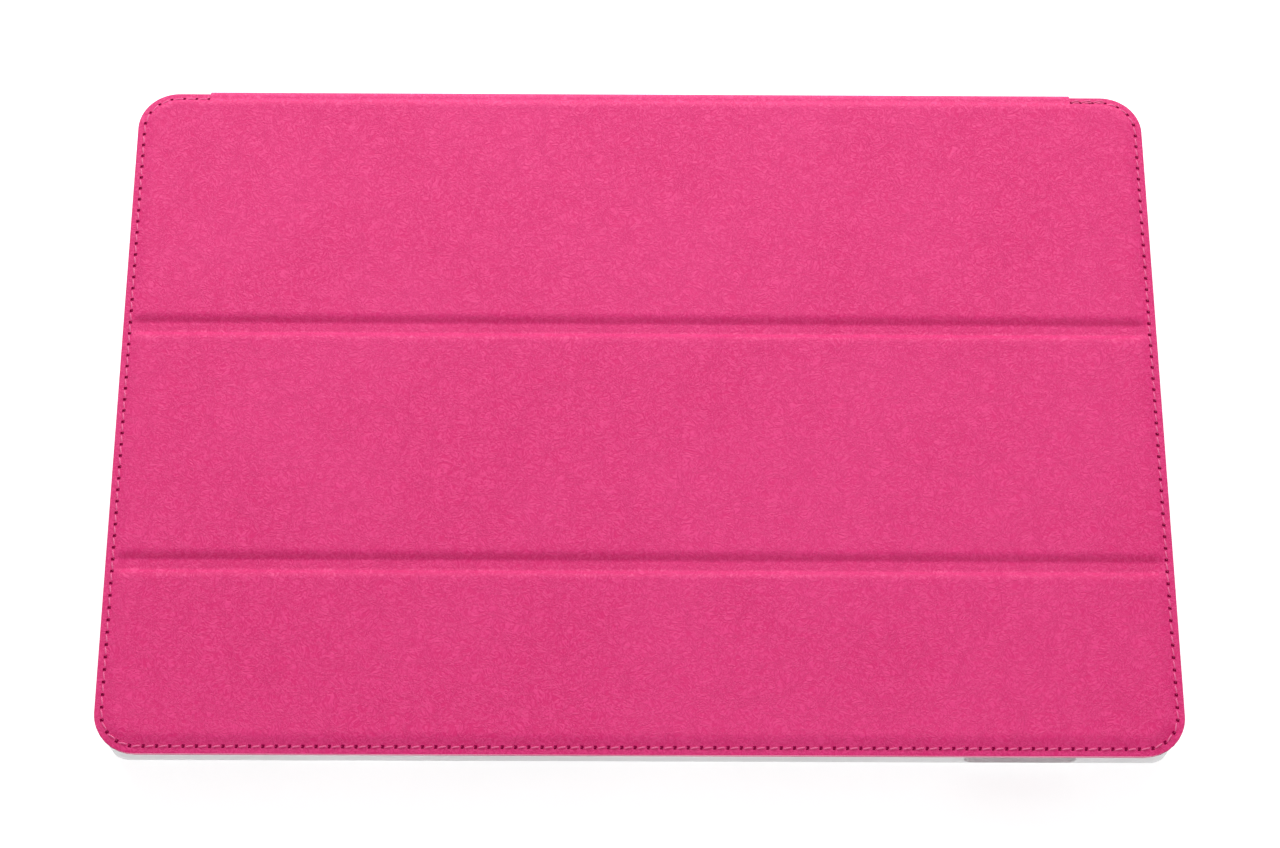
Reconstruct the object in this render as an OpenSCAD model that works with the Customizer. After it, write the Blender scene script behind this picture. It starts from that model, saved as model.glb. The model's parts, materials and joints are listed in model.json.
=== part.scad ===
/* [Cover] */
// Width of the cover, along the hinge
cover_w = 252; // [240:1:270]
// Depth of the cover, from its free edge to the outside of the spine
cover_d = 177.8; // [170:0.2:190]
// Radius of the cover's corners
corner_r = 10; // [9:0.5:11]
// How far the far corners stop short of the outside of the spine
ear_step = 1.7; // [1.5:0.1:2]
// Width of the flat stitched rim
rim_w = 2.5; // [2.3:0.1:3]
// Width of the slope from the rim up onto a board
slope_w = 2.7; // [2.3:0.1:3]
// Width of the flat rim at the far edge, over the spine
far_rim_w = 1.9; // [1.8:0.1:2.5]
// Width of the slope at the far edge
far_slope_w = 1.2; // [1:0.1:2]
// Thickness of the leather skin
skin_t = 0.7; // [0.6:0.05:0.8]
// Thickness of the microfibre lining
lining_t = 0.5; // [0.4:0.05:0.6]
// Thickness of the stiffening boards
board_t = 1; // [0.8:0.1:1.2]

/* [Folds] */
// Distance from the outside of the spine to the first fold
panel_1_d = 67.8; // [66:0.1:70]
// Distance from the first fold to the second fold
panel_2_d = 62.75; // [61:0.25:64]
// Width of the flat bottom of a fold's groove
groove_w = 2.4; // [2:0.1:2.8]
// Width of each slope beside a groove
groove_slope_w = 1.8; // [1.5:0.1:2]

/* [Spine] */
// Width of the spine and of its glued flap
spine_w = 216.7; // [200:0.1:218]
// Outer radius where the spine rolls into the cover and into the flap
roll_r = 3; // [2.8:0.1:3.2]
// Depth of the flap that is glued to the back of the shell
flap_d = 28; // [20:1:40]
// Radius of the flap's corners
flap_r = 8; // [4:1:12]
// Thickness of the adhesive under the flap
glue_t = 0.2; // [0.15:0.05:0.25]

/* [Shell] */
// Thickness of the tablet that the shell holds
tablet_t = 8.9; // [8.5:0.1:9.5]
// How far the cover stands out past the shell
overhang = 1.2; // [1:0.1:1.5]
// Thickness of the shell's walls
wall_t = 1.1; // [1:0.1:1.2]
// Thickness of the shell's floor
floor_t = 1.7; // [1.6:0.1:2]
// Gap between the spine and the far wall
spine_gap = 0.4; // [0.3:0.1:0.5]
// Outer radius along the bottom edges
edge_r = 5; // [4.5:0.5:5]
// How far the corner lips reach over the tablet
lip_reach = 0.7; // [0.4:0.1:1]
// Height of the corner lips
lip_h = 0.6; // [0.4:0.1:0.8]

/* [Openings] */
// Width of the slot for the power and volume keys
key_slot_w = 26; // [20:1:30]
// Place of the key slot along the free wall
key_slot_x = 88; // [80:1:95]
// Width of the charging port's opening
port_w = 13; // [10:1:16]
// Diameter of the headphone opening
jack_d = 8; // [7:0.5:9]
// Width of the card door's opening
card_slot_w = 22; // [18:1:26]
// Diameter of the camera's window
camera_d = 13; // [10:1:15]

/* [Stitching] */
// Length of one stitch
stitch_pitch = 3.06; // [2.8:0.02:3.4]
// Distance of the stitch line from the edge
stitch_inset = 1.75; // [1.6:0.05:1.8]
// Width of the sewing thread
thread_w = 0.5; // [0.4:0.05:0.6]

/* [Magnets] */
// Length of each stand magnet and of its steel plate
magnet_l = 30; // [20:1:40]
// Width of each stand magnet and of its steel plate
magnet_w = 6; // [4:0.5:8]
// Diameter of the magnet that wakes the screen
wake_d = 8; // [6:1:10]

/* [Hidden] */
$fn = 64;

pink = "#d9387e";
lining_pink = "#c8487f";
frost = "#e6e9ea";
thread_pink = "#ef6aa2";

// Gap between solids that move against each other
gap = 0.3;
// Overlap that keeps a cut clear of a face
eps = 0.1;

// Half sizes and main lines of the cover
half_w = cover_w / 2;
free_y = -cover_d / 2;
spine_y = cover_d / 2;
ear_y = spine_y - ear_step;
fold_1_y = spine_y - panel_1_d;
fold_2_y = fold_1_y - panel_2_d;

// Heights, from the back of the shell upward
shell_top = floor_t + tablet_t;
lining_z = shell_top + gap;
skin_z = lining_z + lining_t;
rim_z = skin_z + skin_t;
top_z = rim_z + board_t;
laminate_t = skin_t + lining_t;

// Centres of the two rolls of the spine, and its middle
roll_y = spine_y - roll_r;
upper_roll_z = rim_z - roll_r;
spine_mid_z = rim_z / 2;
// Angle that leaves half the gap at the inside of a roll
roll_gap_a = gap / 2 / (roll_r - laminate_t) * 180 / PI;

// The shell's outside and the tablet's pocket
shell_w = cover_w - 2 * overhang;
shell_free_y = free_y + overhang;
shell_far_y = spine_y - laminate_t - spine_gap;
shell_r = corner_r - overhang;
shell_d = shell_far_y - shell_free_y;
pocket_w = shell_w - 2 * wall_t;
pocket_d = shell_d - 2 * wall_t;
pocket_r = shell_r - wall_t;
pocket_edge_r = edge_r - 1.5;
flap_recess = skin_t + glue_t;
side_hole_z = (floor_t + shell_top) / 2 + 0.6;

// Boards
board_inset = rim_w + slope_w - 0.6;
board_fold_inset = groove_w / 2 + groove_slope_w - 0.2;
board_far_y = ear_y - far_rim_w - far_slope_w + 0.1;
magnet_y = free_y + board_inset + magnet_w;
plate_y = board_far_y - magnet_w;
magnet_xs = [-80, 80];
wake_x = 60;

// Stitching
stitch_l = 0.68 * stitch_pitch;
thread_t = 0.25;
channel_w = thread_w + 0.2;
channel_t = 0.15;
ear_stitches = 3;
corner_stitches = 4;
tack_inset = 0.65;

// A rectangle with round corners, centred on x, from y0 to y1
module rounded_rect(w, y0, y1, r) {
  translate([-w / 2 + r, y0]) square([w - 2 * r, y1 - y0]);
  translate([-w / 2, y0 + r]) square([w, y1 - y0 - 2 * r]);
  for (x = [-w / 2 + r, w / 2 - r], y = [y0 + r, y1 - r])
    translate([x, y]) circle(r);
}

// The cover's outline without the spine, drawn in by a distance
module cover_outline(inset = 0) {
  rounded_rect(cover_w - 2 * inset, free_y + inset, ear_y - inset, corner_r - inset);
}

// The strip of the cover from y0 to y1, as one flat layer
module cover_layer(y0, y1, z, t) {
  translate([0, 0, z]) linear_extrude(t) intersection() {
    cover_outline();
    translate([-half_w, y0]) square([cover_w, y1 - y0]);
  }
}

// A shape drawn as (y, z) and swept along x
module along_x(w) {
  rotate([90, 0, 90]) translate([0, 0, -w / 2]) linear_extrude(w) children();
}

// A shape drawn as (x, z) and swept along y
module along_y(y0, y1) {
  translate([0, y1, 0]) rotate([90, 0, 0]) linear_extrude(y1 - y0) children();
}

// Part of a roll between two angles, as (y, z) about its own centre
module roll_sector(r_in, r_out, a0, a1) {
  reach = 2 * r_out;
  mid = (a0 + a1) / 2;
  intersection() {
    difference() {
      circle(r_out);
      circle(r_in);
    }
    polygon([
      [0, 0],
      reach * [cos(a0), sin(a0)],
      reach * [cos(mid), sin(mid)],
      reach * [cos(a1), sin(a1)]
    ]);
  }
}

// The raised top over a board, with all four sides sloped
module raised_top(y0, y1, slope_0, slope_1) {
  intersection() {
    along_y(y0, y1) polygon([
      [-half_w + rim_w, rim_z],
      [half_w - rim_w, rim_z],
      [half_w - rim_w - slope_w, top_z],
      [-half_w + rim_w + slope_w, top_z]
    ]);
    along_x(cover_w) polygon([[y0, rim_z], [y1, rim_z], [y1 - slope_1, top_z], [y0 + slope_0, top_z]]);
  }
}

// The space that keeps a raised top inside the cover's round corners at its far or free end
module round_end(far, rim, slope) {
  centre_x = half_w - corner_r;
  centre_y = far ? ear_y - corner_r : free_y + corner_r;
  translate([0, centre_y, rim_z]) mirror([0, far ? 0 : 1, 0]) {
    translate([-half_w, -cover_d, 0]) cube([cover_w, cover_d, board_t]);
    translate([-centre_x, -eps, 0]) cube([2 * centre_x, corner_r + eps, board_t]);
    for (x = [-centre_x, centre_x])
      translate([x, 0, 0]) cylinder(h = board_t, r1 = corner_r - rim, r2 = corner_r - rim - slope);
  }
}

// A board's outline from y0 to y1
module board_outline(y0, y1) {
  r = corner_r - board_inset;
  rounded_rect(cover_w - 2 * board_inset, y0, y1, r);
}

// A board as a solid, at its height in the cover
module board_body(y0, y1) {
  translate([0, 0, skin_z]) linear_extrude(board_t) board_outline(y0, y1);
}

// A bar magnet or plate in the thickness of a board
module bar(x, y, clear = 0) {
  translate([x, y, skin_z + board_t / 2])
    cube([magnet_l + 2 * clear, magnet_w + 2 * clear, board_t], center = true);
}

// The line that the stitches follow, as a shallow pressed channel
module stitch_channel(z, t) {
  translate([0, 0, z]) linear_extrude(t) difference() {
    cover_outline(stitch_inset - channel_w / 2);
    cover_outline(stitch_inset + channel_w / 2);
    translate([-spine_w / 2, ear_y - corner_r]) square([spine_w, 2 * corner_r]);
  }
}

// One stitch along x, centred on its own middle, lying on the plane z = 0
module stitch(l = stitch_l) {
  translate([-l / 2, -thread_w / 2, 0]) cube([l, thread_w, thread_t]);
}

// Stitches in a straight row from point a, in the direction of an angle
module stitch_row(a, angle, length, z, count) {
  step = length / count;
  translate([a[0], a[1], z]) rotate(angle)
    for (i = [0:count - 1])
      translate([(i + 0.5) * step, 0, 0]) stitch();
}

// Stitches round one corner, from angle a0 through a quarter turn
module stitch_corner(centre, a0, z) {
  r = corner_r - stitch_inset;
  translate([centre[0], centre[1], z])
    for (i = [0:corner_stitches - 1])
      rotate(a0 + (i + 0.5) * 90 / corner_stitches)
        translate([r, 0, 0]) rotate(90) stitch();
}

// The stitches on both side edges from y0 to y1
module side_stitches(y0, y1, z) {
  count = round((y1 - y0) / stitch_pitch);
  for (x = [-half_w + stitch_inset, half_w - stitch_inset])
    stitch_row([x, y0], 90, y1 - y0, z, count);
}

module panel_1_stitches(z) {
  side_y = ear_y - corner_r;
  side_x = half_w - corner_r;
  side_stitches(fold_1_y, side_y, z);
  stitch_corner([side_x, side_y], 0, z);
  stitch_corner([-side_x, side_y], 90, z);
  for (x = [spine_w / 2, -side_x])
    stitch_row([x, ear_y - stitch_inset], 0, side_x - spine_w / 2, z, ear_stitches);
}

module panel_3_stitches(z) {
  side_y = free_y + corner_r;
  side_x = half_w - corner_r;
  count = round(2 * side_x / stitch_pitch);
  side_stitches(side_y, fold_2_y, z);
  stitch_corner([-side_x, side_y], 180, z);
  stitch_corner([side_x, side_y], 270, z);
  stitch_row([-side_x, free_y + stitch_inset], 0, 2 * side_x, z, count);
}

// The tray's solid form: round in plan and round along its bottom edges
module tray_body(w, y0, y1, z0, z1, r, bottom_r) {
  intersection() {
    translate([0, 0, z0]) linear_extrude(z1 - z0) rounded_rect(w, y0, y1, r);
    along_y(y0 - eps, y1 + eps) tray_profile(-w / 2, w / 2, z0, z1, bottom_r);
    along_x(w + 2 * eps) tray_profile(y0, y1, z0, z1, bottom_r);
  }
}

// A flat-topped outline whose two lower corners are round
module tray_profile(a0, a1, z0, z1, r) {
  translate([a0 + r, z0]) square([a1 - a0 - 2 * r, z1 - z0]);
  translate([a0, z0 + r]) square([a1 - a0, z1 - z0 - r]);
  for (a = [a0 + r, a1 - r])
    translate([a, z0 + r]) circle(r);
}

// A slot with round ends, swept along y through the free wall
module slot_outline(w, h) {
  square([w - h, h], center = true);
  for (x = [-(w - h) / 2, (w - h) / 2])
    translate([x, 0]) circle(h / 2);
}

// An opening through a side wall, drawn as (y, z)
module side_opening(side, y) {
  translate([side * shell_w / 2, y, side_hole_z]) along_x(4 * wall_t + 2 * lip_reach) children();
}

// The flap's outline: square where it meets the roll, round at its other corners
module flap_outline(inset = 0) {
  y0 = roll_y - flap_d + inset;
  r = flap_r - inset;
  w = spine_w - 2 * inset;
  translate([-w / 2, y0 + r]) square([w, flap_d - inset - r]);
  translate([-w / 2 + r, y0]) square([w - 2 * r, r]);
  for (x = [-w / 2 + r, w / 2 - r])
    translate([x, y0 + r]) circle(r);
}

module back_shell() {
  pocket_y0 = shell_free_y + wall_t;
  pocket_y1 = shell_far_y - wall_t;
  lip_z = shell_top - lip_h;
  lip_l = 24;
  relief_w = spine_w + 3;
  relief_z = upper_roll_z + 0.3;
  color(frost) difference() {
    tray_body(shell_w, shell_free_y, shell_far_y, 0, shell_top, shell_r, edge_r);
    tray_body(pocket_w, pocket_y0, pocket_y1, floor_t, lip_z, pocket_r, pocket_edge_r);
    // the mouth is wide open between the corners, and narrower at the lips
    translate([0, 0, lip_z - eps]) linear_extrude(lip_h + 2 * eps)
      rounded_rect(pocket_w - 2 * lip_reach, pocket_y0 + lip_reach, pocket_y1 - lip_reach,
        pocket_r - lip_reach);
    translate([-pocket_w / 2 + lip_l, pocket_y0, lip_z - eps])
      cube([pocket_w - 2 * lip_l, pocket_d, lip_h + 2 * eps]);
    translate([-pocket_w / 2, pocket_y0 + lip_l, lip_z - eps])
      cube([pocket_w, pocket_d - 2 * lip_l, lip_h + 2 * eps]);
    // the far wall is lower behind the spine, so the spine can roll over it
    translate([-relief_w / 2, pocket_y1 - lip_reach - eps, relief_z])
      cube([relief_w, wall_t + lip_reach + 2 * eps, shell_top]);
    // recess for the glued flap, open toward the spine
    translate([0, 0, -eps]) linear_extrude(flap_recess + eps) flap_outline(-gap);
    translate([key_slot_x, shell_free_y, side_hole_z]) along_y(-2 * wall_t, 2 * wall_t + lip_reach)
      slot_outline(key_slot_w, 5);
    side_opening(1, 0) slot_outline(port_w, 6);
    side_opening(1, 38) circle(jack_d / 2);
    side_opening(-1, -30) slot_outline(card_slot_w, 5);
    translate([half_w - 23, free_y + 20, -eps]) cylinder(h = floor_t + 2 * eps, r = camera_d / 2);
  }
}

module flap_skin() {
  color(pink) {
    linear_extrude(skin_t) flap_outline();
    translate([0, roll_y, roll_r]) along_x(spine_w)
      roll_sector(roll_r - skin_t, roll_r, -90, -45 - roll_gap_a);
  }
}

module flap_adhesive() {
  color("whitesmoke") translate([0, 0, skin_t]) linear_extrude(glue_t) flap_outline(1.5);
}

// One layer of the lower half of the spine, between two depths from its outside
module spine_lower(d0, d1) {
  translate([0, roll_y, roll_r]) along_x(spine_w)
    roll_sector(roll_r - d1, roll_r - d0, -45 + roll_gap_a, 0);
  translate([-spine_w / 2, spine_y - d1, roll_r])
    cube([spine_w, d1 - d0, spine_mid_z - gap / 2 - roll_r]);
}

// One layer of the upper half of the spine, between two depths from its outside
module spine_upper(d0, d1) {
  translate([0, roll_y, upper_roll_z]) along_x(spine_w)
    roll_sector(roll_r - d1, roll_r - d0, 0, 45 - roll_gap_a);
  translate([-spine_w / 2, spine_y - d1, spine_mid_z + gap / 2])
    cube([spine_w, d1 - d0, upper_roll_z - spine_mid_z - gap / 2]);
}

// The end of panel 1's layer that starts the roll over the spine
module roll_start(d0, d1) {
  translate([0, roll_y, upper_roll_z]) along_x(spine_w)
    roll_sector(roll_r - d1, roll_r - d0, 45 + roll_gap_a, 90);
}

module spine_lower_skin() {
  color(pink) spine_lower(0, skin_t);
}

module spine_lower_lining() {
  color(lining_pink) spine_lower(skin_t, laminate_t);
}

module spine_upper_skin() {
  color(pink) spine_upper(0, skin_t);
}

module spine_upper_lining() {
  color(lining_pink) spine_upper(skin_t, laminate_t);
}

// Panel 1's flat layer: cut back behind the spine, with its two corners left whole
module panel_1_layer(z, t) {
  difference() {
    cover_layer(fold_1_y + gap / 2, spine_y, z, t);
    translate([-spine_w / 2, roll_y, z - eps]) cube([spine_w, 2 * roll_r, t + 2 * eps]);
  }
}

module panel_1_skin() {
  color(pink) {
    difference() {
      union() {
        panel_1_layer(skin_z, skin_t);
        intersection() {
          raised_top(fold_1_y + groove_w / 2, ear_y - far_rim_w, groove_slope_w, far_slope_w);
          round_end(true, far_rim_w, far_slope_w);
        }
      }
      board_body(fold_1_y + board_fold_inset, board_far_y);
      stitch_channel(rim_z - channel_t, thread_t + eps);
    }
    roll_start(0, skin_t);
  }
}

module panel_1_board() {
  color("dimgray") difference() {
    board_body(fold_1_y + board_fold_inset, board_far_y);
    for (x = magnet_xs)
      bar(x, plate_y, 0.2);
  }
}

module stand_plates() {
  color("silver") for (x = magnet_xs)
    bar(x, plate_y);
}

module panel_1_lining() {
  color(lining_pink) {
    difference() {
      panel_1_layer(lining_z, lining_t);
      stitch_channel(lining_z - eps, thread_t + eps);
    }
    roll_start(skin_t, laminate_t);
  }
}

module panel_1_needle_thread() {
  color(thread_pink) {
    panel_1_stitches(rim_z - channel_t);
    // a second row of stitches locks the seam's end at one corner
    stitch_row([spine_w / 2, ear_y - stitch_inset + tack_inset], 0,
      half_w - corner_r - spine_w / 2, rim_z, ear_stitches);
  }
}

module panel_1_bobbin_thread() {
  color(thread_pink) panel_1_stitches(lining_z);
}

module panel_2_skin() {
  color(pink) difference() {
    union() {
      cover_layer(fold_2_y + gap / 2, fold_1_y - gap / 2, skin_z, skin_t);
      raised_top(fold_2_y + groove_w / 2, fold_1_y - groove_w / 2, groove_slope_w, groove_slope_w);
    }
    board_body(fold_2_y + board_fold_inset, fold_1_y - board_fold_inset);
    stitch_channel(rim_z - channel_t, thread_t + eps);
  }
}

module panel_2_board() {
  color("dimgray") board_body(fold_2_y + board_fold_inset, fold_1_y - board_fold_inset);
}

module panel_2_lining() {
  color(lining_pink) difference() {
    cover_layer(fold_2_y + gap / 2, fold_1_y - gap / 2, lining_z, lining_t);
    stitch_channel(lining_z - eps, thread_t + eps);
  }
}

module panel_2_needle_thread() {
  color(thread_pink) side_stitches(fold_2_y, fold_1_y, rim_z - channel_t);
}

module panel_2_bobbin_thread() {
  color(thread_pink) side_stitches(fold_2_y, fold_1_y, lining_z);
}

module panel_3_skin() {
  color(pink) difference() {
    union() {
      cover_layer(free_y, fold_2_y - gap / 2, skin_z, skin_t);
      intersection() {
        raised_top(free_y + rim_w, fold_2_y - groove_w / 2, slope_w, groove_slope_w);
        round_end(false, rim_w, slope_w);
      }
    }
    board_body(free_y + board_inset, fold_2_y - board_fold_inset);
    stitch_channel(rim_z - channel_t, thread_t + eps);
  }
}

module panel_3_board() {
  color("dimgray") difference() {
    board_body(free_y + board_inset, fold_2_y - board_fold_inset);
    for (x = magnet_xs)
      bar(x, magnet_y, 0.2);
    translate([wake_x, magnet_y, skin_z - eps]) cylinder(h = board_t + 2 * eps, r = wake_d / 2 + 0.2);
  }
}

module panel_3_lining() {
  color(lining_pink) difference() {
    cover_layer(free_y, fold_2_y - gap / 2, lining_z, lining_t);
    stitch_channel(lining_z - eps, thread_t + eps);
  }
}

module panel_3_needle_thread() {
  color(thread_pink) panel_3_stitches(rim_z - channel_t);
}

module panel_3_bobbin_thread() {
  color(thread_pink) panel_3_stitches(lining_z);
}

module stand_magnets() {
  color("silver") for (x = magnet_xs)
    bar(x, magnet_y);
}

module wake_magnet() {
  color("silver") translate([wake_x, magnet_y, skin_z]) cylinder(h = board_t, r = wake_d / 2);
}

back_shell();
flap_adhesive();
flap_skin();
spine_lower_skin();
spine_lower_lining();
spine_upper_skin();
spine_upper_lining();
panel_1_skin();
panel_1_board();
panel_1_lining();
panel_1_needle_thread();
panel_1_bobbin_thread();
stand_plates();
panel_2_skin();
panel_2_board();
panel_2_lining();
panel_2_needle_thread();
panel_2_bobbin_thread();
panel_3_skin();
panel_3_board();
panel_3_lining();
panel_3_needle_thread();
panel_3_bobbin_thread();
stand_magnets();
wake_magnet();
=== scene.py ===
import json
from math import atan2, hypot, pi, radians, sqrt

import bmesh
import bpy
from mathutils import Matrix, Vector, noise


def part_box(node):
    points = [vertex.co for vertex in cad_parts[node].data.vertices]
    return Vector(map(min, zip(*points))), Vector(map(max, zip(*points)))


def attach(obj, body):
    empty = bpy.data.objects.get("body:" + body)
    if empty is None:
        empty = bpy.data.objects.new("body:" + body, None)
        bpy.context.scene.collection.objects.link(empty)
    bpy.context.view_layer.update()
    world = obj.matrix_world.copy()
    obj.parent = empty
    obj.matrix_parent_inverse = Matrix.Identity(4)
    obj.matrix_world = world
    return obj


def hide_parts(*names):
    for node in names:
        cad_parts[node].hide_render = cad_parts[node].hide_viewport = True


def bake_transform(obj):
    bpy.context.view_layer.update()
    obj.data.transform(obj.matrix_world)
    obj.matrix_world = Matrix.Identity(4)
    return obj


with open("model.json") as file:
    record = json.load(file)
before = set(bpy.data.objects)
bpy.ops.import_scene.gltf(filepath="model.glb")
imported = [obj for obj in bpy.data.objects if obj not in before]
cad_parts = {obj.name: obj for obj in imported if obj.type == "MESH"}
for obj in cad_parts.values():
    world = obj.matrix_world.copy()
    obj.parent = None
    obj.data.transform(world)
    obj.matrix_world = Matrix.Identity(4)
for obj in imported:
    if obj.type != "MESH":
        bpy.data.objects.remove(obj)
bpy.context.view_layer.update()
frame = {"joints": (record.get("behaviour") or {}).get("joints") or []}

mm = 0.001
tiny = 0.00001
joints = {joint["name"]: joint for joint in frame["joints"]}


# Values shared by the cover's layers
cover = {
    "halfWidth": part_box("panel_3_skin")[1].x,
    "freeY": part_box("panel_3_skin")[0].y,
    "spineY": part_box("spine_lower_skin")[1].y,
    "topZ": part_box("panel_2_skin")[1].z,
    "cornerRadius": 10 * mm,
    "earStep": 1.7 * mm,      # the far corners stop this far short of the spine's outside
    "rise": 1.0 * mm,         # how far the boards lift the leather
    "leather": 0.7 * mm,
    "lining": 0.5 * mm,
    "rim": 1.5 * mm,          # from the edge to the foot of the slope onto a board
    "slope": 1.9 * mm,        # its straight part, then the part that rounds over
    "shoulder": 1.7 * mm,
    "farRim": 1.3 * mm,
    "farSlope": 0.8 * mm,
    "grooveHalf": 1.4 * mm,   # from a fold to the foot of a board's edge
    "grooveShoulder": 2.4 * mm,
    "pressed": 0.2 * mm,      # how far the outermost edge is pressed down, and over what width
    "pressedWidth": 1.5 * mm,
    "rollRadius": 3.0 * mm,
    "rollRows": 10,           # rows of faces in a quarter roll, and down the straight part of the spine
    "spineRows": 16,
    "flapDepth": 28 * mm,
    "flapRadius": 8 * mm,
    "flapRows": 8,
    "flapCornerRows": 10,
    "sharpAbove": 50,         # degrees between faces, above which an edge stays sharp
}
cover["earY"] = cover["spineY"] - cover["earStep"]
cover["rimZ"] = cover["topZ"] - cover["rise"]
cover["rollY"] = cover["spineY"] - cover["rollRadius"]
folds = [joints["fold_1"]["pos_m"][1], joints["fold_2"]["pos_m"][1]]

seam = {
    "inset": 1.725 * mm,
    "cells": 4,                      # mesh cells in one stitch
    "cornerStitches": 4,
    "freeEdgeStitches": 76,
    "panelStitches": (12, 21, 18),   # along each side, from the free panel to the spine's
    "earCells": 10,
    "fineWithin": 4 * mm,            # rows of cells are halved this near a fold
    "tackCells": (0.5, 6.5),         # the two extra needle holes, back from the seam's end
    "onSeam": 0.3 * mm,              # how near a face must be to the seam and to a hole to be pressed in
    "onHole": 0.35 * mm,
}


# From 0 to 1 as leather climbs onto a board: a straight slope from its foot, then a rounded shoulder
def climb(distance, straight, shoulder):
    distance = min(max(distance, 0.0), straight + shoulder)
    past = max(distance - straight, 0.0)
    return (distance - past ** 2 / (2 * shoulder)) / (straight + shoulder / 2)


def mix(a, b, t):
    return a + (b - a) * t


# How far a place is in from the cover's outline, and how much that edge faces the spine
def fromEdge(x, y):
    radius = cover["cornerRadius"]
    midY = (cover["earY"] + cover["freeY"]) / 2
    acrossX = abs(x) - (cover["halfWidth"] - radius)
    acrossY = abs(y - midY) - ((cover["earY"] - cover["freeY"]) / 2 - radius)
    reach = hypot(max(acrossX, 0), max(acrossY, 0))
    inward = radius - reach - min(max(acrossX, acrossY), 0)
    facing = max(acrossY, 0) / reach if reach > 0 else float(acrossY > acrossX)
    return inward, facing if y > midY else 0.0


# How much of the boards' full rise the leather has at a place
def boardRise(x, y):
    inward, far = fromEdge(x, y)
    rim = mix(cover["rim"], cover["farRim"], far)
    slope = mix(cover["slope"], cover["farSlope"], far)
    rise = climb(inward - rim, slope, cover["shoulder"])
    for fold in folds:
        rise *= climb(abs(y - fold) - cover["grooveHalf"], 0.0, cover["grooveShoulder"])
    return rise


def pressedEdge(x, y):
    inward, _ = fromEdge(x, y)
    return cover["pressed"] * max(1 - inward / cover["pressedWidth"], 0.0) ** 2


def leatherHeight(x, y):
    return cover["rimZ"] + cover["rise"] * boardRise(x, y) - pressedEdge(x, y)


# Where the rows of cells of the flat pattern lie, from the free edge's corners to the spine's
def seamRows(cellsPerStitch):
    ends = [cover["freeY"] + cover["cornerRadius"], folds[1], folds[0],
            cover["earY"] - cover["cornerRadius"]]
    rows = [ends[0]]
    for start, end, stitches in zip(ends, ends[1:], seam["panelStitches"]):
        cells = stitches * cellsPerStitch
        for cell in range(cells):
            middle = mix(start, end, (cell + 0.5) / cells)
            if min(abs(middle - fold) for fold in folds) < seam["fineWithin"]:
                rows.append(middle)
            rows.append(mix(start, end, (cell + 1) / cells))
    return rows


def seamColumns(cellsPerStitch):
    half = cover["halfWidth"] - cover["cornerRadius"]
    cells = seam["freeEdgeStitches"] * cellsPerStitch
    return [mix(-half, half, cell / cells) for cell in range(cells + 1)]


# One more row of faces beyond a chain of edges, for each step
def addRows(bm, chain, direction, steps):
    for step in steps:
        made = bmesh.ops.extrude_edge_only(bm, edges=chain)["geom"]
        verts = {item for item in made if isinstance(item, bmesh.types.BMVert)}
        bmesh.ops.translate(bm, verts=list(verts), vec=direction * step)
        chain = [item for item in made
                 if isinstance(item, bmesh.types.BMEdge) and verts.issuperset(item.verts)]
    return chain


def turnRows(bm, chain, centre, axis, angle, steps):
    ends = list({vert for edge in chain for vert in edge.verts})
    last = bmesh.ops.spin(bm, geom=chain + ends, cent=centre, axis=axis, angle=angle,
                          steps=steps, use_merge=False)["geom_last"]
    return [item for item in last if isinstance(item, bmesh.types.BMEdge)]


def chainAt(bm, axis, place, keep=lambda vert: True):
    return [edge for edge in bm.edges
            if all(abs(vert.co[axis] - place) < tiny and keep(vert) for vert in edge.verts)]


# The cover's whole outline with round corners, flat at height z. The insets run outward from the corner's
# centre to 0
def layPattern(bm, cellsPerStitch, insets, z):
    columns, rows = seamColumns(cellsPerStitch), seamRows(cellsPerStitch)
    bmesh.ops.create_grid(bm, x_segments=len(columns) - 1, y_segments=len(rows) - 1, size=0.5)
    for vert in bm.verts:
        column = round((vert.co.x + 0.5) * (len(columns) - 1))
        row = round((vert.co.y + 0.5) * (len(rows) - 1))
        vert.co = (columns[column], rows[row], z)
    steps = [outer - inner for outer, inner in zip(insets, insets[1:])]
    sides = [(0, columns[0]), (0, columns[-1]), (1, rows[0]), (1, rows[-1])]
    chains = [chainAt(bm, axis, place) for axis, place in sides]
    for (axis, place), chain in zip(sides, chains):
        direction = Vector((0, 0, 0))
        direction[axis] = 1 if place > 0 else -1
        addRows(bm, chain, direction, steps)
    for x in (columns[0], columns[-1]):
        for y in (rows[0], rows[-1]):
            chain = chainAt(bm, 0, x,
                            lambda vert: abs(vert.co.y) > abs(y) - tiny and vert.co.y * y > 0)
            turnRows(bm, chain, (x, y, z), (0, 0, 1), pi / 2 if x * y < 0 else -pi / 2,
                     seam["cornerStitches"] * cellsPerStitch)
    bmesh.ops.remove_doubles(bm, verts=bm.verts, dist=tiny)


# Cuts the middle of the far rim back to where the spine starts to roll, and returns that chain
def openSpineEdge(bm, halfSpine):
    rim = [face for face in bm.faces
           if face.calc_center_median().y > cover["rollY"]
           and abs(face.calc_center_median().x) < halfSpine]
    bmesh.ops.delete(bm, geom=rim, context="FACES")
    chain = chainAt(bm, 1, cover["rollY"], lambda vert: abs(vert.co.x) < halfSpine + tiny)
    return [edge for edge in chain if edge.is_boundary]


def makePiece(name, bm, *materials):
    bmesh.ops.recalc_face_normals(bm, faces=bm.faces)
    mesh = bpy.data.meshes.new(name)
    bm.to_mesh(mesh)
    bm.free()
    piece = bpy.data.objects.new(name, mesh)
    bpy.context.collection.objects.link(piece)
    for material in materials:
        mesh.materials.append(material)
    mesh.shade_smooth()
    return piece


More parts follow.
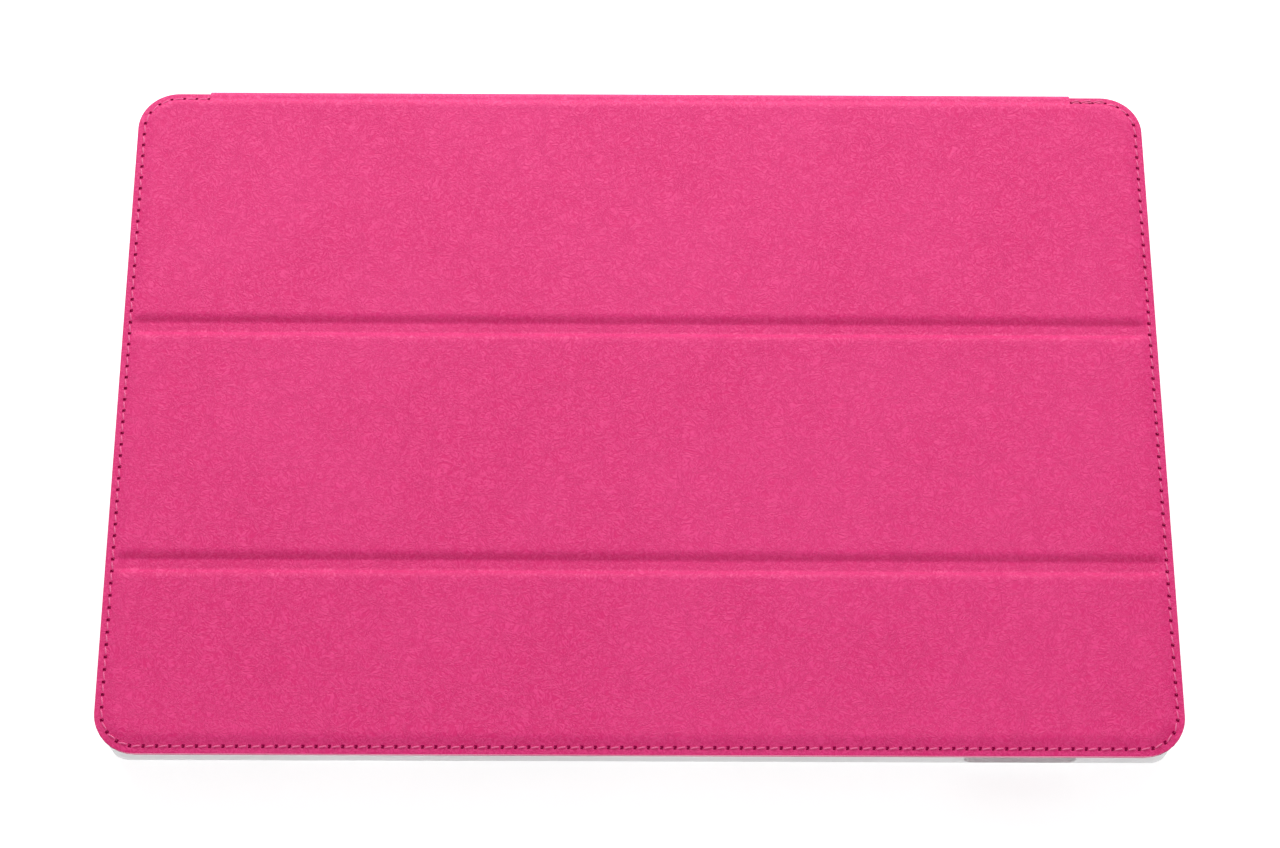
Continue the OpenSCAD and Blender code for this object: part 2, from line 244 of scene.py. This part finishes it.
# Gives a sheet its thickness, inward from its outside, for good
def thicken(piece, thickness):
    solid = piece.modifiers.new("thickness", "SOLIDIFY")
    solid.thickness = thickness
    solid.offset = -1
    solid.use_even_offset = True
    solid.material_offset_rim = 1
    bpy.context.view_layer.update()
    graph = bpy.context.evaluated_depsgraph_get()
    shaped = bpy.data.meshes.new_from_object(piece.evaluated_get(graph))
    piece.modifiers.clear()
    piece.data = shaped
    shaped.set_sharp_from_angle(angle=radians(cover["sharpAbove"]))


# The part of a layer between two planes, as a bmesh of its own
def cutBetween(bm, *planes):
    part = bm.copy()
    for place, normal in planes:
        bmesh.ops.bisect_plane(part, geom=part.verts[:] + part.edges[:] + part.faces[:], dist=tiny,
                               plane_co=place, plane_no=normal, clear_outer=True)
    return part


# A value on its way through a shader, so that sums can be written as sums
class Flow:
    def __init__(self, maker, socket):
        self.maker = maker
        self.socket = socket

    def __add__(self, other):
        return self.maker.sum("ADD", self, other)

    def __mul__(self, other):
        return self.maker.sum("MULTIPLY", self, other)

    __radd__ = __add__
    __rmul__ = __mul__


# A procedural material, made by method calls: noise and creases give patterns, wear links one to the shader
class Finish:
    def __init__(self, name, **fixed):
        self.material = bpy.data.materials.new(name)
        self.material.use_nodes = True
        self.nodes = self.material.node_tree.nodes
        self.links = self.material.node_tree.links
        self.shader = self.nodes["Principled BSDF"]
        for socket, value in fixed.items():
            self.shader.inputs[socket.replace("_", " ")].default_value = value

    def node(self, kind, settings={}, inputs={}, output=0):
        made = self.nodes.new(kind)
        for setting, value in settings.items():
            setattr(made, setting, value)
        for socket, value in inputs.items():
            if isinstance(value, Flow):
                self.links.new(value.socket, made.inputs[socket])
            else:
                made.inputs[socket].default_value = value
        return Flow(self, made.outputs[output])

    def sum(self, operation, a, b):
        return self.node("ShaderNodeMath", {"operation": operation}, {0: a, 1: b})

    def place(self, scale=(1000, 1000, 1000)):
        here = self.node("ShaderNodeTexCoord", output="Object")
        return self.node("ShaderNodeMapping", inputs={"Vector": here, "Scale": scale})

    def shift(self, place, by, amount):
        push = self.node("ShaderNodeVectorMath", {"operation": "SCALE"}, {0: by, "Scale": amount})
        return self.node("ShaderNodeVectorMath", {"operation": "ADD"}, {0: place, 1: push})

    def noise(self, place, scale, detail=2.0, roughness=0.5, distortion=0.0, output="Fac"):
        return self.node("ShaderNodeTexNoise", inputs={
            "Vector": place, "Scale": scale, "Detail": detail, "Roughness": roughness,
            "Distortion": distortion}, output=output)

    def creases(self, place, scale):
        return self.node("ShaderNodeTexVoronoi", {"feature": "DISTANCE_TO_EDGE"},
                         {"Vector": place, "Scale": scale}, output="Distance")

    def spread(self, value, low, high, toLow=0.0, toHigh=1.0):
        return self.node("ShaderNodeMapRange", {"interpolation_type": "SMOOTHSTEP"}, {
            "Value": value, "From Min": low, "From Max": high, "To Min": toLow, "To Max": toHigh})

    def blend(self, factor, a, b):
        return self.node("ShaderNodeMix", {"data_type": "RGBA"}, {0: factor, 6: a, 7: b}, output=2)

    def wear(self, socket, value):
        self.links.new(value.socket, self.shader.inputs[socket])

    def bump(self, height, distance, strength=1.0):
        self.wear("Normal", self.node("ShaderNodeBump", inputs={
            "Height": height, "Distance": distance, "Strength": strength}))


leather = {
    "colour": (0.745, 0.034, 0.202, 1),
    "crease": (0.640, 0.007, 0.140, 1),
    "pale": (0.765, 0.040, 0.218, 1),
    "grainPerMm": 1.35,
    "pebblesPerMm": 1.0,
    "grainDepth": 0.12 * mm,
    "swirlPerMm": 0.16,        # the slow swirl that bends the grain, and how far it does, in mm
    "grainSwirl": 7.0,
    "pebbleSwirl": 4.0,
    "cloudPerMm": 0.03,
    "cloudShare": 0.25,
}


def pinkLeather():
    finish = Finish("pinkLeather", Specular_IOR_Level=0.35)
    place = finish.place()
    swirl = finish.noise(place, leather["swirlPerMm"], 2, output="Color")
    bent = finish.shift(place, swirl, leather["grainSwirl"])
    grain = finish.noise(bent, leather["grainPerMm"], 2, 0.55, distortion=1.6)
    bentLess = finish.shift(place, swirl, leather["pebbleSwirl"])
    pebbles = finish.spread(finish.creases(bentLess, leather["pebblesPerMm"]), 0.0, 0.25)
    height = finish.spread(grain, 0.32, 0.68) * 0.75 + pebbles * 0.25
    tone = finish.spread(height, 0.2, 0.85)
    body = finish.blend(tone, leather["crease"], leather["colour"])
    cloud = finish.spread(finish.noise(place, leather["cloudPerMm"], 3), 0.35, 0.7)
    finish.wear("Base Color", finish.blend(cloud * leather["cloudShare"], body, leather["pale"]))
    finish.wear("Roughness", finish.spread(height, 0.1, 1.0, 0.60, 0.46))
    finish.bump(height, leather["grainDepth"], 0.75)
    return finish.material


# The two colours that each of the other finishes varies between
tones = {
    "cutEdge": ((1.0, 0.48, 0.63, 1), (1.0, 0.68, 0.79, 1)),
    # painted shade: the needle holes' dark crimson stands in for the shade down in the pits
    "hole": ((0.34, 0.0, 0.07, 1), (0.50, 0.002, 0.12, 1)),
    "needleThread": ((0.72, 0.06, 0.24, 1), (0.90, 0.17, 0.38, 1)),
    "bobbinThread": ((0.58, 0.09, 0.23, 1), (0.82, 0.26, 0.44, 1)),
    "microfibre": ((0.34, 0.040, 0.120, 1), (0.56, 0.105, 0.225, 1)),
    "plastic": ((0.80, 0.79, 0.80, 1), (0.89, 0.88, 0.89, 1)),
    "board": ((0.045, 0.045, 0.05, 1), (0.10, 0.10, 0.105, 1)),
    "steel": ((0.50, 0.51, 0.53, 1), (0.66, 0.67, 0.68, 1)),
    "nickel": ((0.58, 0.56, 0.52, 1), (0.72, 0.70, 0.66, 1)),
    "adhesive": ((0.72, 0.70, 0.64, 1), (0.84, 0.82, 0.77, 1)),
    "floor": ((0.90, 0.90, 0.90, 1), (0.92, 0.92, 0.92, 1)),
}


def leatherCutEdge():
    finish = Finish("leatherCutEdge", Roughness=0.75)
    fibres = finish.noise(finish.place((900, 900, 2500)), 1.2, 3)
    finish.wear("Base Color", finish.blend(fibres, *tones["cutEdge"]))
    finish.bump(fibres, 0.05 * mm)
    return finish.material


# Painted shade: a dark crimson that stands in for the shade down in the needle holes
def needleHole():
    finish = Finish("needleHole", Roughness=0.9, Specular_IOR_Level=0.1)
    grain = finish.noise(finish.place(), 3.0)
    finish.wear("Base Color", finish.blend(grain, *tones["hole"]))
    return finish.material


def sewingThread(name):
    finish = Finish(name, Roughness=0.6, Sheen_Weight=0.1)
    place = finish.place()
    plies = finish.node("ShaderNodeTexWave", {"bands_direction": "DIAGONAL"}, {
        "Vector": place, "Scale": 1.6, "Distortion": 1.5, "Detail": 1.0}, output="Fac")
    fuzz = finish.noise(place, 5.0, 2)
    twist = finish.spread(plies * 0.7 + fuzz * 0.5, 0.2, 0.9)
    finish.wear("Base Color", finish.blend(twist, *tones[name]))
    finish.bump(twist, 0.06 * mm, 0.7)
    return finish.material


def microfibre():
    finish = Finish("microfibre", Roughness=0.95, Sheen_Weight=0.5, Sheen_Roughness=0.4)
    place = finish.place()
    bent = finish.shift(place, finish.noise(place, 0.3, output="Color"), 1.5)
    nap = finish.noise(bent, 2.4, 4, 0.65)
    brushed = finish.spread(finish.noise(place, 0.03, 3, 0.6), 0.35, 0.65)
    tone = finish.spread(nap * 0.85 + brushed * 0.15, 0.25, 0.75)
    finish.wear("Base Color", finish.blend(tone, *tones["microfibre"]))
    finish.wear("Roughness", finish.spread(nap, 0.3, 0.7, 1.0, 0.86))
    finish.bump(nap, 0.12 * mm, 0.7)
    return finish.material


def frostedPlastic():
    finish = Finish("frostedPlastic", IOR=1.58, Transmission_Weight=0.45)
    place = finish.place()
    frost = finish.noise(place, 4.0, 3, 0.6)
    haze = finish.spread(finish.noise(place, 0.02, 2), 0.3, 0.7)
    speckle = finish.spread(finish.noise(place, 1.5, 4, 0.7), 0.35, 0.7)
    finish.wear("Base Color", finish.blend(haze * 0.6 + speckle * 0.4, *tones["plastic"]))
    finish.wear("Roughness", finish.spread(frost, 0.3, 0.7, 0.34, 0.50))
    finish.bump(frost, 0.03 * mm, 0.6)
    return finish.material


def boardSheet():
    finish = Finish("boardSheet", Roughness=0.7)
    place = finish.place()
    specks = finish.noise(place, 2.0, 4, 0.7)
    finish.wear("Base Color", finish.blend(specks, *tones["board"]))
    finish.wear("Roughness", finish.spread(specks, 0.3, 0.7, 0.6, 0.8))
    finish.bump(specks, 0.03 * mm, 0.5)
    return finish.material


# Bare metal: lay stretches its brushing along the grain, in waves to the metre
def metalFinish(name, tone, roughness, lay):
    finish = Finish(name, Metallic=1.0, Roughness=roughness)
    brushing = finish.noise(finish.place(lay), 1.0, 3, 0.6)
    finish.wear("Base Color", finish.blend(brushing, *tones[tone]))
    finish.wear("Roughness", finish.spread(brushing, 0.3, 0.7, roughness - 0.08, roughness + 0.1))
    finish.bump(brushing, 0.01 * mm, 0.4)
    return finish.material


def adhesiveFilm():
    finish = Finish("adhesiveFilm", Roughness=0.35)
    tack = finish.noise(finish.place(), 0.8, 3)
    finish.wear("Base Color", finish.blend(tack, *tones["adhesive"]))
    finish.bump(tack, 0.02 * mm, 0.5)
    return finish.material


pinkFinish = pinkLeather()
edgeFinish = leatherCutEdge()
holeShadeFinish = needleHole()
liningFinish = microfibre()
needleFinish = sewingThread("needleThread")
bobbinFinish = sewingThread("bobbinThread")
print("materials ready")


# Straight runs and quarter turns of the seam, from the left far corner round to the right one
def seamRuns():
    inset = seam["inset"]
    halfX = cover["halfWidth"] - cover["cornerRadius"]
    sideX = cover["halfWidth"] - inset
    farY = cover["earY"] - cover["cornerRadius"]
    nearY = cover["freeY"] + cover["cornerRadius"]
    cells = seam["cells"]
    turn = seam["cornerStitches"] * cells
    pitch = 2 * halfX / (seam["freeEdgeStitches"] * cells)
    earX = halfX - seam["earCells"] * pitch
    levels = [farY, folds[0], folds[1], nearY]
    counts = [stitches * cells for stitches in reversed(seam["panelStitches"])]
    left = [(count, (-sideX, a), (-sideX, b), None) for count, a, b in zip(counts, levels, levels[1:])]
    right = [(count, (sideX, b), (sideX, a), None) for count, (_, (_, a), (_, b), _) in zip(counts, left)]
    right.reverse()
    return ([(seam["earCells"], (-earX, cover["earY"] - inset), (-halfX, cover["earY"] - inset), None),
             (turn, (-halfX, cover["earY"] - inset), None, (-halfX, farY))]
            + left
            + [(turn, (-sideX, nearY), None, (-halfX, nearY)),
               (seam["freeEdgeStitches"] * cells, (-halfX, cover["freeY"] + inset),
                (halfX, cover["freeY"] + inset), None),
               (turn, (halfX, cover["freeY"] + inset), None, (halfX, nearY))]
            + right
            + [(turn, (sideX, farY), None, (halfX, farY)),
               (seam["earCells"], (halfX, cover["earY"] - inset), (earX, cover["earY"] - inset), None)])


runs = seamRuns()
seamCells = sum(run[0] for run in runs)


# The place on the seam that is a number of mesh cells from its start
def seamPoint(cell):
    for count, start, end, centre in runs:
        if cell <= count:
            break
        cell -= count
    share = cell / count
    if centre is None:
        return Vector(start).lerp(Vector(end), share)
    spoke = Vector(start) - Vector(centre)
    spoke.rotate(Matrix.Rotation(share * pi / 2, 2))
    return Vector(centre) + spoke


needleHoles = [seamPoint(cell + 0.5) for cell in range(0, seamCells, seam["cells"])]
backTack = [seamPoint(seamCells - cells) for cells in seam["tackCells"]]


skin = {
    # rows of the rim and of the slope onto the boards, in mm from the edge
    "insets": [10, 7, 5.6, 5.0, 4.4, 3.8, 3.2, 2.65, 2.15, 1.3, 0.75, 0.3, 0],
    "holeDepth": 0.38 * mm,
    "holeLip": 0.09 * mm,
    "puff": 0.05 * mm,         # how far the leather stands unevenly on its boards, and over what length
    "puffSize": 26 * mm,
}


def halfSpineWidth():
    half = cover["halfWidth"] - cover["cornerRadius"]
    return half - seam["earCells"] * 2 * half / (seam["freeEdgeStitches"] * seam["cells"])


# Lifts the flat leather over the boards, lets it sag into the grooves and softens its edge
def drapeOverBoards(bm):
    for vert in bm.verts:
        x, y, _ = vert.co
        soft = noise.noise(Vector((x, y, 0)) / skin["puffSize"]) * skin["puff"]
        vert.co.z = leatherHeight(x, y) + soft * boardRise(x, y)


# Rolls a layer over the top of the spine, down its back and round its foot by lowerTurn
def rollSpine(bm, chain, drop, lowerTurn):
    radius = cover["rollRadius"] - drop
    rimZ = cover["rimZ"] - drop
    upper = cover["rimZ"] - cover["rollRadius"]
    straight = upper - cover["rollRadius"]
    rows = cover["spineRows"]
    chain = turnRows(bm, chain, (0, cover["rollY"], rimZ - radius), (1, 0, 0), -pi / 2, cover["rollRows"])
    chain = addRows(bm, chain, Vector((0, 0, -1)), [straight / rows] * rows)
    foot = (0, cover["rollY"], cover["rollRadius"])
    return turnRows(bm, chain, foot, (1, 0, 0), -lowerTurn, cover["rollRows"])


# Lays the flap that is glued under the shell, with its two corners rounded
def layFlap(bm, chain):
    radius, depth, half = cover["flapRadius"], cover["flapDepth"], halfSpineWidth()
    rows, cornerRows = cover["flapRows"], cover["flapCornerRows"]
    steps = [(depth - radius) / rows] * rows + [radius / cornerRows] * cornerRows
    addRows(bm, chain, Vector((0, -1, 0)), steps)
    turnY = cover["rollY"] - depth + radius
    for vert in bm.verts:
        past = turnY - vert.co.y
        if vert.co.z < tiny and past > 0:
            vert.co.x *= (half - radius + sqrt(max(radius ** 2 - past ** 2, 0))) / half


# Presses a pit into the leather under every needle hole; its floor and walls get the needle holes' painted
# shade
def pressHoles(bm):
    def underNeedle(face):
        middle = face.calc_center_median()
        inward, _ = fromEdge(middle.x, middle.y)
        if abs(inward - seam["inset"]) > seam["onSeam"]:
            return False
        return any((hole - middle.xy).length < seam["onHole"] for hole in needleHoles + backTack)

    pits = [face for face in bm.faces
            if face.calc_center_median().z > cover["rimZ"] - mm and underNeedle(face)]
    walls = bmesh.ops.inset_region(bm, faces=pits, thickness=skin["holeLip"], use_even_offset=True)["faces"]
    floor = {vert for face in pits for vert in face.verts}
    bmesh.ops.translate(bm, verts=list(floor), vec=(0, 0, -skin["holeDepth"]))
    for face in pits + walls:
        # the pits' faces take the needle holes' painted shade
        face.material_index = 2


def makeLeather():
    bm = bmesh.new()
    layPattern(bm, seam["cells"], [inset * mm for inset in skin["insets"]], cover["rimZ"])
    chain = openSpineEdge(bm, halfSpineWidth())
    drapeOverBoards(bm)
    chain = rollSpine(bm, chain, 0, pi / 2)
    layFlap(bm, chain)
    bmesh.ops.recalc_face_normals(bm, faces=bm.faces)
    pressHoles(bm)
    return bm


bends = {
    "spineCut": 3 / 16,         # where the spine is cut, as a share of its straight part, from either end
    "clearance": 0.02 * mm,     # from a cut to the bend beside it
    "footStart": 0.95 * mm,     # height above the foot at which the spine starts to bend
    "headStart": 2.3 * mm,      # depths below the rim between which the cover bends from the spine
    "headEnd": 1.41 * mm,
    "foldReach": 2.4 * mm,      # to either side of a fold
}


# Where the cover's layers are cut into pieces, one at each joint
def cutLines():
    rows = seamRows(seam["cells"])
    middles = [(folds[0] + cover["earY"]) / 2, (folds[0] + folds[1]) / 2]
    rowCuts = [min(rows, key=lambda row: abs(row - middle)) for middle in middles]
    straight = cover["rimZ"] - 2 * cover["rollRadius"]
    low = cover["rollRadius"] + straight * bends["spineCut"]
    high = cover["rimZ"] - cover["rollRadius"] - straight * bends["spineCut"]
    return rowCuts, low, high


(spineSideCut, freeSideCut), lowCut, highCut = cutLines()
up, down = Vector((0, 0, 1)), Vector((0, 0, -1))
toSpine, toFree = Vector((0, 1, 0)), Vector((0, -1, 0))


# A fold's bend runs from the panel on its spine side to the one on its free side
def foldBend(fold):
    return (0, fold + bends["foldReach"], 0), (0, fold - bends["foldReach"], 0)


# What each piece of a layer spans: its cutting planes, the two bodies it joins and where it bends between
spans = {
    "Foot": {
        "planes": [((0, 0, lowCut), up)],
        "bodies": ("shell", "spine_lower"),
        "bend": ((0, 0, bends["footStart"]), (0, 0, lowCut - bends["clearance"])),
    },
    "Spine": {
        "planes": [((0, 0, lowCut), down), ((0, 0, highCut), up)],
        "bodies": ("spine_lower", "spine_upper"),
        "bend": ((0, 0, lowCut + bends["clearance"]), (0, 0, highCut - bends["clearance"])),
    },
    "Head": {
        "planes": [((0, 0, highCut), down), ((0, spineSideCut, 0), toFree)],
        "bodies": ("spine_upper", "panel_1"),
        "bend": ((0, 0, cover["rimZ"] - bends["headStart"]), (0, 0, cover["rimZ"] - bends["headEnd"])),
    },
    "Middle": {
        "planes": [((0, spineSideCut, 0), toSpine), ((0, freeSideCut, 0), toFree),
                   ((0, 0, highCut), down)],
        "bodies": ("panel_1", "panel_2"),
        "bend": foldBend(folds[0]),
    },
    "Free": {
        "planes": [((0, freeSideCut, 0), toSpine), ((0, 0, highCut), down)],
        "bodies": ("panel_2", "panel_3"),
        "bend": foldBend(folds[1]),
    },
}


def join(piece):
    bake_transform(piece)


# The width and the unrolled length of a span of a layer that lies a drop below the leather's outside
def flatSize(span, drop, lowerTurn, beyond):
    radius = cover["rollRadius"] - drop
    upper = cover["rimZ"] - cover["rollRadius"]
    lengths = {
        "Foot": beyond + lowerTurn * radius + lowCut - cover["rollRadius"],
        "Spine": highCut - lowCut,
        "Head": upper - highCut + radius * pi / 2 + cover["rollY"] - spineSideCut,
        "Middle": spineSideCut - freeSideCut,
        "Free": freeSideCut - cover["freeY"],
    }
    onSpine = span in ("Foot", "Spine")
    return 2 * (halfSpineWidth() if onSpine else cover["halfWidth"]), lengths[span]


def surfaceArea(bm):
    return sum(face.calc_area() for face in bm.faces)


# Cuts a layer into its spans, gives them their thickness and hides the parts they replace
def makeLayer(layer, flat, nodes, materials, thickness, drop, lowerTurn, beyond):
    pieces = {}
    sizes = {}
    for span in spans:
        part = cutBetween(flat, *spans[span]["planes"])
        size = flatSize(span, drop, lowerTurn, beyond)
        sizes[span] = size, min(surfaceArea(part), size[0] * size[1])
        piece = makePiece(layer + span, part, *materials)
        thicken(piece, thickness)
        join(piece)
        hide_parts(*nodes[span])
        pieces[span] = piece
    flat.free()
    return pieces, sizes


def declareSheets(pieces, narrow, neighbour):
    for span, piece in pieces.items():
        if span in narrow:
            continue
        others = [pieces[name] for name in narrow] if span == neighbour else []


leatherNodes = {
    "Foot": ["flap_skin"],
    "Spine": ["spine_lower_skin", "spine_upper_skin"],
    "Head": ["panel_1_skin"],
    "Middle": ["panel_2_skin"],
    "Free": ["panel_3_skin"],
}
# the third finish is the needle holes' painted shade
leatherPieces, leatherSizes = makeLayer("leather", makeLeather(), leatherNodes,
                                        (pinkFinish, edgeFinish, holeShadeFinish), cover["leather"],
                                        0, pi / 2, cover["flapDepth"])
declareSheets(leatherPieces, ["Spine"], "Foot")
print("leather made")


lining = {
    "insets": [10, 6, 3, 1.3, 0.9, 0.4, 0],   # rows of the rim, in mm
    "cells": 2,
    "gap": 0.02 * mm,                    # left between the lining and the leather
    "endTurn": pi / 4,                   # how far it follows the spine's lower roll
}


def makeLining():
    drop = cover["leather"] + lining["gap"]
    bm = bmesh.new()
    layPattern(bm, lining["cells"], [inset * mm for inset in lining["insets"]], cover["rimZ"] - drop)
    chain = openSpineEdge(bm, halfSpineWidth())
    for vert in bm.verts:
        vert.co.z -= pressedEdge(vert.co.x, vert.co.y)
    rollSpine(bm, chain, drop, lining["endTurn"])
    return bm


liningNodes = {
    "Foot": ["spine_lower_lining"],
    "Spine": ["spine_upper_lining"],
    "Head": ["panel_1_lining"],
    "Middle": ["panel_2_lining"],
    "Free": ["panel_3_lining"],
}
liningPieces, liningSizes = makeLayer("lining", makeLining(), liningNodes, (liningFinish, edgeFinish),
                                      cover["lining"] - lining["gap"],
                                      cover["leather"] + lining["gap"], lining["endTurn"], 0)
declareSheets(liningPieces, ["Foot", "Spine"], "Head")
print("lining made")


thread = {
    "radius": 0.18 * mm,
    "sides": 6,
    "steps": 8,
    "reach": 0.80,           # of the way from hole to hole
    "sag": 0.50 * mm,        # how far a stitch's ends dive below its middle
    "proud": 0.10 * mm,      # the middle of a stitch above the leather, to its centre line
    "bobbinProud": 0.02 * mm,
    "slant": 9.0,            # degrees
    "backTackShift": 0.55 * mm,
    "sharpAbove": 70,        # degrees
}


# Adds one stitch: a thread bent over an arc that dives at both ends
def addStitch(sewn, start, end, z, side, sideways=0.0):
    along = end - start
    half = along.length / 2 * thread["reach"]
    sag = thread["sag"]
    radius = (half ** 2 + sag ** 2) / (2 * sag)
    reach = 2 * atan2(half, radius - sag)
    bm = bmesh.new()
    upright = Matrix.Translation((0, 0, radius)) @ Matrix.Rotation(pi / 2, 4, "Y")
    ring = bmesh.ops.create_circle(bm, segments=thread["sides"], radius=thread["radius"], matrix=upright)
    bmesh.ops.rotate(bm, verts=ring["verts"], cent=(0, 0, 0), matrix=Matrix.Rotation(-reach / 2, 3, "Y"))
    first = bm.edges[:]
    swept = bmesh.ops.spin(bm, geom=ring["verts"] + first, cent=(0, 0, 0), axis=(0, 1, 0), angle=reach,
                           steps=thread["steps"], use_merge=False)
    last = [item for item in swept["geom_last"] if isinstance(item, bmesh.types.BMEdge)]
    for opening in (first, last):
        bmesh.ops.edgeloop_fill(bm, edges=opening)
    middle = start + along / 2
    turn = Matrix.Rotation(atan2(along.y, along.x) + radians(thread["slant"]), 4, "Z")
    settle = (Matrix.Translation((middle.x, middle.y, z)) @ turn @ Matrix.Scale(side, 4, (0, 0, 1))
              @ Matrix.Translation((0, sideways, -radius)))
    bmesh.ops.transform(bm, matrix=settle, verts=bm.verts)
    stitch = bpy.data.meshes.new("stitch")
    bm.to_mesh(stitch)
    bm.free()
    sewn.from_mesh(stitch)
    bpy.data.meshes.remove(stitch)


def spanAt(y):
    if y > spineSideCut:
        return "Head"
    return "Middle" if y > freeSideCut else "Free"


# The centre line of the needle's and the bobbin's thread at the middle of a stitch
def needleHeight(place):
    return leatherHeight(*place) + thread["proud"]


def bobbinHeight(place):
    return cover["rimZ"] - cover["leather"] - cover["lining"] - thread["bobbinProud"]


def sewThread(kind, height, side, finish):
    sewn = {span: bmesh.new() for span in seamSpans}
    holes = needleHoles + backTack[:1]
    for start, end in zip(holes, holes[1:]):
        middle = (start + end) / 2
        addStitch(sewn[spanAt(middle.y)], start, end, height(middle), side)
    ear = holes[-4:]   # the seam's end is sewn over twice, a little further in
    for start, end in zip(ear, ear[1:]):
        addStitch(sewn["Head"], start, end, height((start + end) / 2), side, -thread["backTackShift"])
    for span, panel in seamSpans.items():
        piece = makePiece(kind + "Thread" + span, sewn[span], finish)
        piece.data.set_sharp_from_angle(angle=radians(thread["sharpAbove"]))
        if span == "Head":
            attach(piece, panel)
        else:
            join(piece)
        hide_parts(f"{panel}_{kind}_thread")


seamSpans = {"Head": "panel_1", "Middle": "panel_2", "Free": "panel_3"}
sewThread("needle", needleHeight, 1, needleFinish)
sewThread("bobbin", bobbinHeight, -1, bobbinFinish)
print("threads sewn")


# The hard parts keep their shapes and get their finishes
hardFinishes = {
    "back_shell": frostedPlastic(),
    "flap_adhesive": adhesiveFilm(),
    "panel_1_board": boardSheet(),
    "stand_plates": metalFinish("zincPlatedSteel", "steel", 0.38, (300, 4000, 300)),
    "stand_magnets": metalFinish("nickelPlate", "nickel", 0.25, (900, 900, 900)),
}
hardFinishes["panel_2_board"] = hardFinishes["panel_3_board"] = hardFinishes["panel_1_board"]
hardFinishes["wake_magnet"] = hardFinishes["stand_magnets"]
for node, finish in hardFinishes.items():
    for place in bpy.data.objects[node].material_slots:
        place.material = finish
print("hard parts finished")


view = {
    "distance": 0.80357,        # metres from the target; angles are in degrees
    "elevation": 64.396,
    "azimuth": 0.943,
    "roll": 1.076,
    "target": (-0.07 * mm, -4.67 * mm),
    "lens": 93.97,
    "sensor": 36,
}


def placeCamera():
    data = bpy.data.cameras.new("camera")
    data.lens = view["lens"]
    data.sensor_width = view["sensor"]
    camera = bpy.data.objects.new("camera", data)
    bpy.context.collection.objects.link(camera)
    turn = (Matrix.Rotation(-radians(view["azimuth"]), 4, "Z")
            @ Matrix.Rotation(radians(90 - view["elevation"]), 4, "X"))
    back = turn @ Vector((0, 0, view["distance"]))
    target = Vector((*view["target"], cover["rimZ"]))
    camera.matrix_world = (Matrix.Translation(target + back) @ turn
                           @ Matrix.Rotation(radians(view["roll"]), 4, "Z"))
    bpy.context.scene.camera = camera


# Soft boxes over the spine and low before the free edge; places and sizes in metres, power in watts
lights = {
    "world": 0.58,
    "floorHalf": 3,
    "floorGlow": 0.42,
    "key": {"place": (-0.03, 0.80, 0.54), "width": 1.4, "height": 0.4, "power": 11.2},
    "fill": {"place": (0.2, -1.0, 0.45), "width": 1.2, "height": 0.5, "power": 2.4},
}


def softLight(name, place, width, height, power):
    data = bpy.data.lights.new(name, "AREA")
    data.shape = "RECTANGLE"
    data.size = width
    data.size_y = height
    data.energy = power
    lamp = bpy.data.objects.new(name, data)
    lamp.location = place
    lamp.rotation_euler = (-Vector(place)).to_track_quat("-Z", "Y").to_euler()
    bpy.context.collection.objects.link(lamp)


def layFloor():
    bm = bmesh.new()
    bmesh.ops.create_grid(bm, x_segments=4, y_segments=4, size=lights["floorHalf"])
    finish = Finish("studioFloor", Roughness=0.8, Emission_Strength=lights["floorGlow"])
    tone = finish.noise(finish.place((3, 3, 3)), 1.0)
    finish.wear("Base Color", finish.blend(tone, *tones["floor"]))
    makePiece("floor", bm, finish.material)


def lightStudio():
    world = bpy.data.worlds.new("studio")
    world.use_nodes = True
    background = world.node_tree.nodes["Background"]
    background.inputs["Color"].default_value = (1, 1, 1, 1)
    background.inputs["Strength"].default_value = lights["world"]
    bpy.context.scene.world = world
    for name in ("key", "fill"):
        softLight(name, **lights[name])
    bpy.context.scene.view_settings.view_transform = "Standard"


placeCamera()
lightStudio()
layFloor()
print("camera and light ready")
